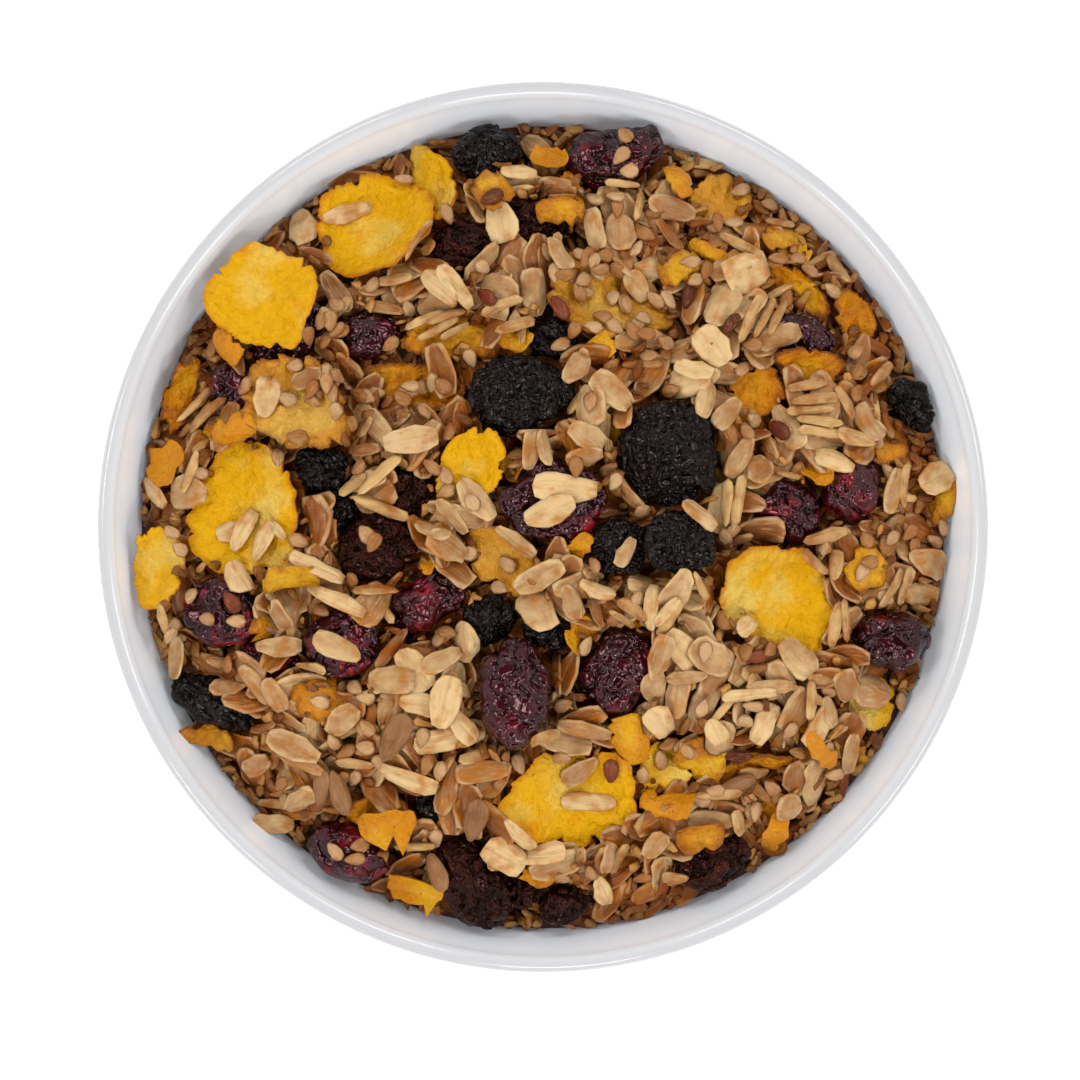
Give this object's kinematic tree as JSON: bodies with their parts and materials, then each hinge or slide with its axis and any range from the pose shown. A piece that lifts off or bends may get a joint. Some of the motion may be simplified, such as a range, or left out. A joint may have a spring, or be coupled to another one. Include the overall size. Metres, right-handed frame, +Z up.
{
  "type": "bowl of granola",
  "caption": "Small round white porcelain bowl on a foot ring, heaped with granola: oats, seeds, corn flakes, raisins and dried cranberries.",
  "frame": {"origin": "on the table, under the middle of the bowl's foot ring", "axes": "+Z up along the bowl's axis, +X to the right and +Y away from the viewer, as in a view from straight above"},
  "size_m": [0.13, 0.13, 0.0677],
  "materials": {
    "bowl_glaze": "glossy white glaze",
    "granola": "toasted oats and seeds with a thin sugar glaze",
    "corn_flake": "toasted, bubbly, satin",
    "raisin": "wrinkled, half gloss",
    "black_raisin": "finely wrinkled, satin",
    "cranberry": "wrinkled, glossy"
  },
  "bodies": {
    "root": {"bowl": "bowl_glaze", "granola_heap": "granola", "cranberry_01": "cranberry", "cranberry_02": "cranberry", "cranberry_03": "cranberry", "cranberry_04": "cranberry", "cranberry_05": "cranberry", "cranberry_06": "cranberry", "cranberry_07": "cranberry", "cranberry_08": "cranberry", "cranberry_09": "cranberry", "cranberry_10": "cranberry", "cranberry_11": "cranberry", "cranberry_12": "cranberry", "cranberry_13": "cranberry", "cranberry_14": "cranberry", "cranberry_15": "cranberry", "black_raisin_01": "black_raisin", "black_raisin_02": "black_raisin", "black_raisin_03": "black_raisin", "black_raisin_04": "black_raisin", "black_raisin_05": "black_raisin", "black_raisin_06": "black_raisin", "black_raisin_07": "black_raisin", "black_raisin_08": "black_raisin", "black_raisin_09": "black_raisin", "black_raisin_10": "black_raisin", "black_raisin_11": "black_raisin", "raisin_01": "raisin", "raisin_02": "raisin", "raisin_03": "raisin", "raisin_04": "raisin", "raisin_05": "raisin", "raisin_06": "raisin", "raisin_07": "raisin", "corn_flake_01": "corn_flake", "corn_flake_02": "corn_flake", "corn_flake_03": "corn_flake", "corn_flake_04": "corn_flake", "corn_flake_05": "corn_flake", "corn_flake_06": "corn_flake", "corn_flake_07": "corn_flake", "corn_flake_08": "corn_flake", "corn_flake_09": "corn_flake", "corn_flake_10": "corn_flake", "corn_flake_11": "corn_flake", "corn_flake_12": "corn_flake", "corn_flake_13": "corn_flake", "corn_flake_14": "corn_flake", "corn_flake_15": "corn_flake", "corn_flake_16": "corn_flake", "corn_flake_17": "corn_flake", "corn_flake_18": "corn_flake", "corn_flake_19": "corn_flake", "corn_flake_20": "corn_flake", "corn_flake_21": "corn_flake", "corn_flake_22": "corn_flake", "corn_flake_23": "corn_flake", "corn_flake_24": "corn_flake", "corn_flake_25": "corn_flake"}
  },
  "joints": []
}
